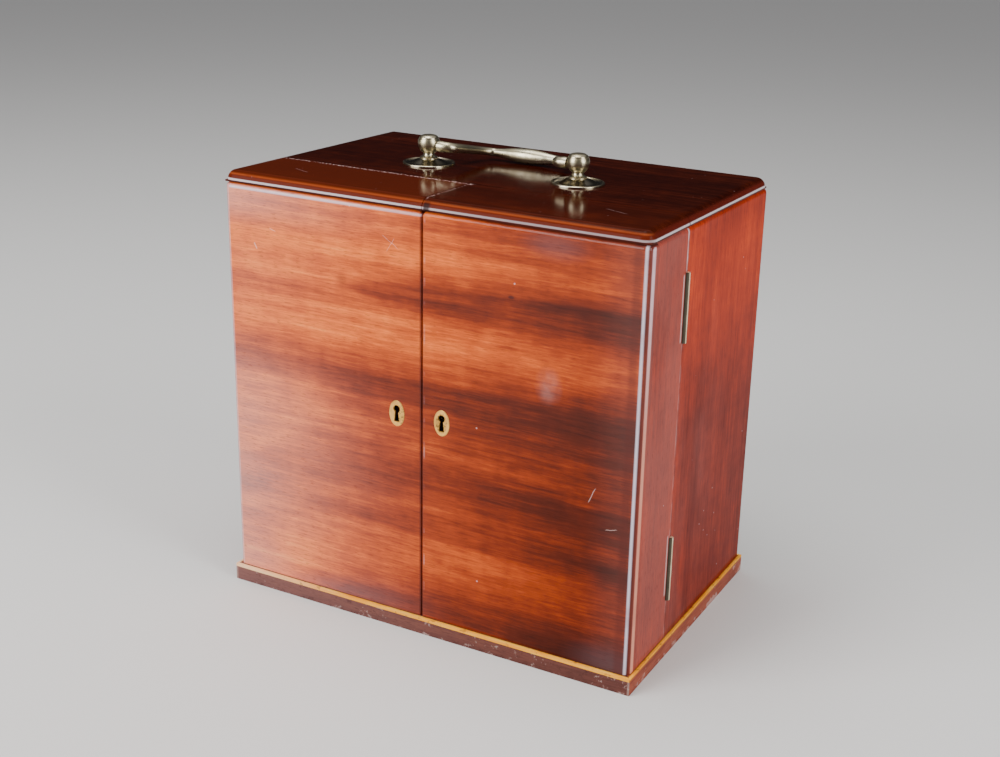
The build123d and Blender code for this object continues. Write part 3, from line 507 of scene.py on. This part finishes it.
# The tone is paler at the left and darker to the right and at the foot: partly the wood's own colour and
# partly painted light falling from the left.
front_right = front_wood.step(front_x, -0.020, 0.130)
front_lower = front_wood.fade(front_z, 0.152, 0.176)
front_upper = front_wood.fade(front_x, -0.080, 0.020) * front_wood.step(front_z, 0.165, 0.185)
front_foot = front_wood.step(front_x, 0.050, 0.120) * front_wood.fade(front_z, 0.060, 0.105)
front_light_and_tone = (
    0.20 - front_right * 0.34 + front_upper * 0.14 - front_foot * 0.14
    - front_lower * front_wood.step(front_x, -0.080, -0.025) * 0.19
    + front_lower * front_wood.fade(front_x, -0.100, -0.060) * 0.15
)
front_tone, front_pores = grain(front_wood, "XZY", stripes=150.0, wander=0.004, depth=0.72,
                                shift=front_bands * (front_right * 0.12 + 1.05) + front_light_and_tone)
front_cloud = front_wood.noise(front_wood.join(front_x * 30.0, front_level * 70.0, 7.0), detail=5.0)
front_tone = front_tone + (front_cloud - 0.5) * 0.40
front_wood.colour = front_wood.shades((front_tone + 0.3) / 1.5, (
    (0.00, (0.050, 0.008, 0.004)),
    (0.20, (0.098, 0.013, 0.005)),
    (0.36, (0.190, 0.022, 0.005)),
    (0.53, (0.350, 0.043, 0.006)),
    (0.70, (0.610, 0.095, 0.010)),
    (0.86, (0.900, 0.185, 0.022)),
    (1.00, (1.000, 0.300, 0.060)),
))

# Bloom carrying a painted sheen of light from the left, dull clouds and the marks of use lie on the outer
# face. The knot goes right through.
front_skin = front_wood.fade(front_y, front_low.y + 0.0007, front_low.y + 0.0012)
front_bloom = front_wood.noise(front_wood.join(front_x * 9.0, front_z * 18.0, 1.0), detail=6.0)
front_left = front_wood.fade(front_x, -0.210, 0.060)
front_ends = front_wood.step(front_z, 0.236, 0.256) + front_wood.fade(front_z, 0.120, 0.182)
front_haze_and_sheen = front_left ** 2 * (0.20 + front_ends * 0.64) * (0.40 + front_bloom * 1.10)
front_haze_and_sheen = (front_haze_and_sheen + front_wood.step(front_x, 0.105, 0.135) * 0.06) * front_skin
front_clouds = (
    front_patch(0.085, 0.2570, (0.4, 1.0), 0.001, 0.011, ragged=0.02)
    + front_patch(0.128, 0.0150, (0.5, 1.0), 0.001, 0.018, ragged=0.02)
)
# A pale haze low down on the left half of the fronts: bloom with a painted sheen of light.
front_low_haze_and_sheen = (
    front_wood.fade(front_level, 0.014, 0.040) * front_wood.fade(front_x, -0.120, 0.030) * 0.40
    + front_wood.fade(front_level, 0.020, 0.110) * front_wood.fade(front_x, -0.140, -0.090) * 0.26
)
front_knot = front_patch(0.0581, 0.2243, (0.6, 1.3), 0.0006, 0.0017, ragged=0.004)
front_curl = front_patch(-0.0553, 0.2170, (0.8, 1.0), 0.0006, 0.0042, ragged=0.012)
front_scuff = front_patch(0.0830, 0.1770, (1.0, 0.75), 0.001, 0.010) * front_wood.step(
    front_wood.noise(front_wood.place, scale=120.0, detail=4.0), 0.10, 0.80)
front_marks = front_wood.specks(0.021, 0.0007, 0.35) + sum(
    front_wood.scratch("XZ", *scratch) for scratch in front_scratches)
# Painted sheen of the light from the left over dull bloomed polish, strongest at the left.
front_wood.paint(front_haze_and_sheen * 0.46, (0.88, 0.68, 0.67))
front_wood.paint(front_clouds * front_skin * 0.42, (0.135, 0.075, 0.085))
front_wood.paint(front_low_haze_and_sheen * front_skin, (0.380, 0.255, 0.300))
front_wood.paint(front_pores * 0.34, (0.08, 0.012, 0.006))
front_wood.paint(front_knot * 0.85 + front_curl * 0.30, (0.055, 0.012, 0.010))
front_wood.paint(front_scuff * front_skin * 0.27, (0.52, 0.38, 0.38))
front_wood.paint(front_marks * front_skin * 0.45, (0.84, 0.62, 0.56))

# The walls of the keyholes are painted near black, as painted shade inside each hole.
keyhole_wall_shade = front_wood.step(front_y, front_low.y + 0.0004, front_low.y + 0.0008)
for plate in ("left_escutcheon", "right_escutcheon"):
    plate_middle = (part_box(plate)[0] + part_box(plate)[1]) / 2
    keyhole = front_patch(plate_middle.x, plate_middle.z, (1.0, 0.6), 0.0042, 0.0052)
    front_wood.paint(keyhole * keyhole_wall_shade * 0.95, (0.006, 0.003, 0.002))

# The level figure ends in the rounded corner, past which the wood is that of the sides. The corner,
# the top edge and the meeting edge of the doors carry painted highlights, with painted shade beside
# them. front_turn is 0 where the corner starts, and 1 where it ends.
side_of_front = upright_wood(front_wood)[0]
front_turn = (abs(front_x) - (front_high.x - corner_radius)) / corner_radius
on_the_right = front_wood.step(front_x, 0.0, 0.100)
# Painted shade: a dark band on the corner between its two highlights and one just before it on the right
# door, a painted shadow under the top moulding, and the dark joint between the doors.
front_shade_lines = (
    front_wood.near(front_turn, 0.78, 0.12, 0.26) * 0.65
    + front_wood.near(front_turn, -0.55, 0.20, 0.90) * on_the_right * 0.45
    + front_wood.step(front_z, front_high.z - 0.0016, front_high.z - 0.0006) * (
        on_the_right * 0.30 + 0.30)
    + front_wood.near(front_x, 0.0, 0.0009, 0.0016) * 0.60
)
corner_breaks = front_wood.step(
    front_wood.noise(front_wood.join(0.0, 0.0, front_z * 30.0), detail=5.0), 0.26, 0.50)
meeting_breaks = front_wood.step(
    front_wood.noise(front_wood.join(0.0, 0.0, front_z * 70.0), detail=5.0), 0.50, 0.62)
left_of_middle = front_wood.fade(front_x, -0.0002, 0.0002)
front_meeting_highlight = front_wood.near(front_x, 0.0020, 0.0002, 0.0008) * meeting_breaks * 0.14
front_top_highlight = (
    front_wood.near(front_z, front_high.z - 0.0026, 0.0002, 0.0012)
    * (left_of_middle * 0.62 - front_wood.step(front_x, -0.090, 0.0) * 0.30 + 0.12)
    * front_wood.fade(front_turn, -0.10, 0.30)
)
front_corner_highlight = front_wood.near(front_turn, 0.42, 0.06, 0.27) * (
    on_the_right * 0.50 + 0.30) * (0.5 + corner_breaks * 0.5)
side_corner_highlight = (
    front_wood.near(front_y, front_low.y + 0.0043, 0.0014, 0.0030)
    * front_wood.step(front_turn, 0.90, 0.98) * (0.7 + corner_breaks * 0.3)
)
side_highlight_colour = front_wood.mix(
    front_wood.step(front_z, 0.140, 0.250), (0.84, 0.34, 0.23), (0.84, 0.60, 0.66))
front_wood.paint(front_wood.step(front_turn, 0.60, 0.95), side_of_front)
# Painted shade lines and the dark joint between the doors.
front_wood.paint(front_shade_lines, (0.10, 0.022, 0.018))
# Painted highlights: pale strips on the corner, along the top arris and beside the meeting edge.
front_wood.paint(front_corner_highlight + front_top_highlight + front_meeting_highlight, (0.76, 0.68, 0.78))
# Painted highlight on the side's rounded edge, redder low down and paler above.
front_wood.paint(side_corner_highlight * 0.80, side_highlight_colour)

front_gloss = 0.38 - front_right * 0.20 * front_wood.fade(front_z, 0.080, 0.200)
front_wood.feed(roughness=0.26 + front_haze_and_sheen * 0.18 + front_scuff * 0.1, coat_weight=front_gloss)
front_wood.relief(front_marks * 0.5 - front_pores * 0.5, 0.0002, 0.30)
dress(front_wood, "left_door_front", "right_door_front")


# ---------------------------------------------------------------- moulded top
# One board with a quirk and an ovolo round its edge, sawn across where the doors part from the
# carcass. It is the darkest and glossiest piece, rubbed pale along the saw cut and scratched.
top_low, top_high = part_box("carcass_top")
top_wood = Finish("mahogany_top", {"Specular IOR Level": 0.0, "Coat Roughness": 0.12})
top_x, top_y, top_z = top_wood.x, top_wood.y, top_wood.z
top_tone, top_pores = grain(top_wood, "XYZ", stripes=38.0, wander=0.008)
top_wood.colour = top_wood.shades(top_tone, (
    (0.15, (0.012, 0.0014, 0.0005)),
    (0.50, (0.027, 0.0032, 0.0009)),
    (0.90, (0.070, 0.0095, 0.0025)),
))
top_of_doors = top_wood.fade(top_y, seam_y - 0.001, seam_y + 0.001)
top_lit_left = top_of_doors * top_wood.fade(top_x, -0.004, 0.004)
# Painted light: the top over the doors is laid lighter, lightest over the left door, where the light falls
# from the front left.
top_wood.paint(top_of_doors * 0.16 + top_lit_left * 0.40, (0.105, 0.0140, 0.0030))

# The moulding: an ovolo with a painted highlight on its upper round at the front and painted shade below
# it, over a lip with a painted highlight and a quirk painted dark as shade, chipped where the doors meet.
top_edge = top_wood.fade(top_z, top_high.z - 0.0030, top_high.z - 0.0008)
top_front = top_wood.fade(top_y, front_low.y + 0.0020, front_low.y + 0.0075)
top_edge_breaks = top_wood.noise(top_wood.place, scale=60.0, detail=4.0)
top_ovolo_highlight = top_edge * top_front * top_wood.step(top_edge_breaks, 0.10, 0.50)
top_ovolo_light_and_shade = top_wood.mix(
    top_wood.step(top_z, top_high.z - 0.0027, top_high.z - 0.0017),
    (0.110, 0.014, 0.005), (0.450, 0.090, 0.020))
top_joint = top_wood.near(top_y, seam_y, 0.0003, 0.0007)
top_lip_highlight = top_wood.near(top_z, top_low.z + 0.0018, 0.0003, 0.0009) * (1 - top_joint)
top_lip_fade_right = top_wood.step(top_x, -0.040, 0.060) * top_front
top_quirk_shade = top_wood.fade(top_z, top_low.z + 0.0007, top_low.z + 0.0012)
top_chip = top_wood.step(top_x, 0.0005, 0.0015) * top_wood.fade(top_x, 0.004, 0.006)
top_wood.paint(top_edge, (0.095, 0.012, 0.007))
top_wood.paint(top_ovolo_highlight, top_ovolo_light_and_shade)
# Painted highlight along the lip, weaker towards the right.
top_wood.paint(top_lip_highlight * (0.75 - top_lip_fade_right * 0.35), (0.74, 0.66, 0.68))
# Painted shade in the quirk.
top_wood.paint(top_quirk_shade * 0.8, (0.060, 0.016, 0.012))
top_wood.paint(top_chip * top_edge * top_front * 0.85, (0.020, 0.008, 0.008))

# The upper face: fine pale dots along the saw cuts, where the polish has broken, and scratches.
top_flat = top_wood.step(top_z, top_high.z - 0.0008, top_high.z - 0.0003)
top_dots = top_flat * top_wood.step(
    top_wood.noise(top_wood.place, scale=650.0, detail=3.0), 0.46, 0.60)
top_cut_y = top_y + (top_x - top_low.x) * 0.010
top_cut = (
    top_wood.near(top_cut_y, seam_y - 0.0005, 0.0005, 0.0014)
    * top_wood.fade(top_x, 0.002, 0.006) * top_dots * 0.9
)
top_parting = top_wood.near(top_x, 0.0008, 0.0003, 0.0010) * top_of_doors * top_dots * 0.30
top_marks = (
    top_wood.scratch("XY", (0.095, -0.052), (0.112, -0.058), 0.0003)
    + top_wood.scratch("XY", (-0.108, -0.062), (-0.094, -0.068), 0.0003)
    + top_wood.specks(0.008, 0.0004, 0.50)
)
top_wood.paint(top_cut + top_parting + top_marks * 0.30, (0.58, 0.42, 0.40))
top_smear = top_wood.noise(top_wood.join(top_x * 20.0, top_y * 30.0, 0.0), detail=4.0)
top_round = top_wood.fade(top_z, top_high.z - 0.00050, top_high.z - 0.00001)
top_gloss = 0.56 - top_round * (top_front * 0.46 + 0.04) - top_cut * 0.05
top_wood.feed(roughness=0.22 + top_smear * 0.15 + top_cut * 0.2, coat_weight=top_gloss)
top_wood.relief(top_smear * 0.02 - top_pores * 0.05 - top_marks * 0.3, 0.0002, 0.35)
dress(top_wood, "carcass_top", "left_door_top", "right_door_top")


# ---------------------------------------------------------------- brass fittings
# Cast and turned brass with its old lacquer gone: plates, posts, bail, hinges, keyhole plates and
# knobs. It is pale where hands rub it and brown in the hollows, with fine scratches all over.
def old_brass(name, bright, dull, polish, dirt_and_shade=None, wear=1.0, metal=1.0):
    """Rubbed brass between a bright and a dull colour, `polish` being its smoothest roughness."""
    brass = Finish(name, {"Metallic": metal})
    tarnish = brass.noise(brass.place, scale=110.0, detail=6.0, roughness=0.6)
    spots = brass.step(brass.noise(brass.place, scale=520.0, detail=3.0), 0.64, 0.74)
    rubbed = brass.step(tarnish, 0.36, 0.66)
    brass.colour = brass.mix(rubbed, dull, bright)
    brass.paint(spots * 0.45 * wear, tuple(part * 0.45 for part in dull))
    # Darkens where the given mask says: real dirt on the plates, painted shade on the hinge knuckles.
    if dirt_and_shade:
        brass.paint(dirt_and_shade(brass), tuple(part * 0.08 for part in dull))
    hairlines = brass.noise(brass.join(brass.x * 300.0, brass.y * 2600.0, brass.z * 2600.0))
    brass.feed(roughness=polish + (1 - rubbed) * 0.10 + spots * 0.10)
    brass.relief(hairlines * 0.12 + (tarnish - spots) * 0.3 * wear, 0.0001, 0.14)
    return brass


handle_brass = old_brass("handle_brass", (0.60, 0.54, 0.38), (0.46, 0.40, 0.26), 0.25, wear=0.35)
dress(handle_brass, "handle_posts", "handle_nuts", "handle_bail")


def dish_dirt(brass):
    """Dirt in the hollow of each round plate, which the cloth that polished its rim never reached."""
    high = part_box("handle_rosettes")[1]
    post_x = high.x - high.y
    reach = ((abs(brass.x) - post_x) ** 2 + brass.y ** 2) ** 0.5
    return brass.step(reach, 0.0050, 0.0080) * brass.fade(reach, 0.0138, 0.0152) * 0.72


rosette_brass = old_brass("rosette_brass", (0.66, 0.58, 0.42), (0.40, 0.33, 0.20), 0.18, dish_dirt)
dress(rosette_brass, "handle_rosettes")


def plate_dirt(brass):
    """Dull brass inside the rubbed rim of each keyhole plate, specked where the lacquer has pitted."""
    low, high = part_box("right_escutcheon")
    middle = (low + high) / 2
    half = (high - low) / 2
    aside = (abs(brass.x) - middle.x) / half.x
    above = (brass.z - middle.z) / half.z
    reach = (aside ** 2 + above ** 2) ** 0.5
    pits = brass.step(brass.noise(brass.place, scale=900.0, detail=3.0), 0.52, 0.60)
    return brass.fade(reach, 0.68, 0.78) * (0.24 + pits * 0.46)


plate_brass = old_brass("plate_brass", (0.98, 0.54, 0.13), (0.70, 0.37, 0.08), 0.34, plate_dirt, metal=0.75)
dress(plate_brass, "left_escutcheon", "right_escutcheon", "left_drawer_knob", "right_drawer_knob")


def knuckle_shade(brass):
    """Painted shade on the half of the knuckles towards the door, the dark reflection of their front flank.
    """
    return brass.fade(brass.y, seam_y - 0.0009, seam_y - 0.0005) * 0.97


hinge_brass = old_brass("hinge_brass", (1.00, 0.87, 0.60), (0.82, 0.69, 0.46), 0.50, knuckle_shade,
                        metal=0.70)
dress(hinge_brass, "hinge_leaves", "hinge_pins", "left_door_leaves", "right_door_leaves")
lock_brass = old_brass("lock_brass", (0.48, 0.38, 0.20), (0.24, 0.18, 0.09), 0.38)
dress(lock_brass, "lock_case", "lock_bolt", "lock_keep")


# ---------------------------------------------------------------- screws
# Hand-filed iron wood screws, two in each hinge leaf, with slotted heads let in level.
# They are grey, with spots of brown rust.
screw_iron = Finish("screw_iron", {"Metallic": 1.0})
screw_rust = screw_iron.noise(screw_iron.place, scale=500.0, detail=5.0)
screw_iron.colour = screw_iron.shades(screw_rust, (
    (0.35, (0.30, 0.28, 0.26)),
    (0.55, (0.22, 0.19, 0.16)),
    (0.70, (0.13, 0.06, 0.03)),
))
screw_iron.feed(roughness=0.35 + screw_rust * 0.4)
screw_iron.relief(screw_rust, 0.0001, 0.5)

screw_sizes = {"Head Radius": 0.002, "Shank Radius": 0.001, "Length": 0.008,
               "Slot Width": 0.0005, "Slot Depth": 0.0006}
screw_spacing = 0.024
head_sides = 40
shank_sides = 24
slot_swing = 1.2  # radians to either side


def screw_tree():
    """Geometry Nodes that set a slotted countersunk screw at every point of a mesh."""
    tree = bpy.data.node_groups.new("slotted_screws", "GeometryNodeTree")
    tree.interface.new_socket("Geometry", in_out="OUTPUT", socket_type="NodeSocketGeometry")
    tree.interface.new_socket("Points", in_out="INPUT", socket_type="NodeSocketGeometry")
    for name in (*screw_sizes, "Lean"):
        tree.interface.new_socket(name, in_out="INPUT", socket_type="NodeSocketFloat")
    entry = tree.nodes.new("NodeGroupInput").outputs

    def add(kind, sockets, output=0, **settings):
        made = tree.nodes.new(kind)
        for name, value in settings.items():
            setattr(made, name, value)
        for name, value in sockets.items():
            if isinstance(value, bpy.types.NodeSocket):
                tree.links.new(value, made.inputs[name])
            elif isinstance(value, list):
                for each in reversed(value):
                    tree.links.new(each, made.inputs[name])
            else:
                made.inputs[name].default_value = value
        return made.outputs[output]

    def work_out(operation, first, second):
        return add("ShaderNodeMath", {0: first, 1: second}, operation=operation)

    def cone(sides, bottom, top, depth):
        return add("GeometryNodeMeshCone", {"Vertices": sides, "Radius Bottom": bottom,
                                            "Radius Top": top, "Depth": depth})

    def raised(geometry, height):
        return add("GeometryNodeTransform", {
            "Geometry": geometry, "Translation": add("ShaderNodeCombineXYZ", {2: height})})

    head_radius = entry["Head Radius"]
    shank_radius = entry["Shank Radius"]
    neck = work_out("SUBTRACT", head_radius, shank_radius)
    slot_size = add("ShaderNodeCombineXYZ", {0: work_out("MULTIPLY", head_radius, 3.0),
                                             1: entry["Slot Width"],
                                             2: work_out("MULTIPLY", entry["Slot Depth"], 2.0)})
    slot_block = add("GeometryNodeMeshCube", {"Size": slot_size})
    head = add("GeometryNodeMeshBoolean", {0: cone(head_sides, head_radius, shank_radius, neck),
                                           1: slot_block}, operation="DIFFERENCE")
    point_run = shank_radius
    shank_run = work_out("SUBTRACT", work_out("SUBTRACT", entry["Length"], neck), point_run)
    shank = raised(cone(shank_sides, shank_radius, shank_radius, shank_run), neck)
    point = raised(cone(shank_sides, shank_radius, 0.0, point_run), work_out("ADD", neck, shank_run))
    screw = add("GeometryNodeJoinGeometry", {"Geometry": [head, shank, point]})
    slot_turn = add("FunctionNodeRandomValue", {"Min": -slot_swing, "Max": slot_swing, "Seed": 4}, 1,
                    data_type="FLOAT")
    turn = add("FunctionNodeEulerToRotation", {
        0: add("ShaderNodeCombineXYZ", {0: entry["Lean"], 1: slot_turn})})
    screws = add("GeometryNodeInstanceOnPoints", {"Points": entry["Points"], "Instance": screw,
                                                  "Rotation": turn})
    real = add("GeometryNodeRealizeInstances", {"Geometry": screws})
    finished = add("GeometryNodeSetMaterial", {"Geometry": real, "Material": screw_iron.material})
    tree.links.new(finished, tree.nodes.new("NodeGroupOutput").inputs[0])
    return tree


screw_nodes = screw_tree()


def place_screws(node, body, inward):
    """Screws where the CAD ones of a node are, driven along Y towards `inward`, +1 or -1."""
    low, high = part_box(node)
    head = screw_sizes["Head Radius"]
    heights = [low.z + head, low.z + head + screw_spacing, high.z - head - screw_spacing, high.z - head]
    face_y = low.y if inward > 0 else high.y
    across = sorted({round(low.x + head, 6), round(high.x - head, 6)})
    mesh = bpy.data.meshes.new(f"{node}_points")
    mesh.from_pydata([(x, face_y, z) for x in across for z in heights], [], [])
    piece = bpy.data.objects.new(f"{node}_slotted", mesh)
    bpy.context.scene.collection.objects.link(piece)
    modifier = piece.modifiers.new("screws", "NODES")
    modifier.node_group = screw_nodes
    values = {**screw_sizes, "Lean": -inward * math.pi / 2}
    for item in screw_nodes.interface.items_tree:
        if item.name in values:
            modifier[item.identifier] = values[item.name]
    bpy.context.view_layer.update()
    made = bpy.data.meshes.new_from_object(piece.evaluated_get(bpy.context.evaluated_depsgraph_get()))
    piece.modifiers.clear()
    piece.data = made
    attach(piece, body)
    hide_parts(node)


place_screws("hinge_screws", "carcass", 1)
place_screws("left_door_screws", "left_door", -1)
place_screws("right_door_screws", "right_door", -1)


# ---------------------------------------------------------------- bottles
# Square blown bottles of slightly green glass with ground stoppers, twelve in the doors and ten
# in the carcass. The glass has faint waves and a few seeds.
bottle_glass = Finish("bottle_glass", {
    "Base Color": (0.86, 0.95, 0.92, 1),
    "Transmission Weight": 1.0,
    "IOR": 1.46,
})
glass_waves = bottle_glass.noise(bottle_glass.place, scale=45.0, detail=2.0)
glass_seeds = bottle_glass.specks(0.011, 0.0006, 0.4)
bottle_glass.colour = bottle_glass.mix(
    bottle_glass.step(glass_waves, 0.4, 0.7), (0.84, 0.95, 0.91), (0.92, 0.97, 0.95))
bottle_glass.feed(roughness=0.005 + glass_seeds * 0.10)
bottle_glass.relief(glass_waves + glass_seeds * 0.3, 0.0003, 0.12)
dress(bottle_glass, "carcass_bottles", "carcass_stoppers", "left_rack_bottles", "left_rack_stoppers",
      "right_rack_bottles", "right_rack_stoppers")
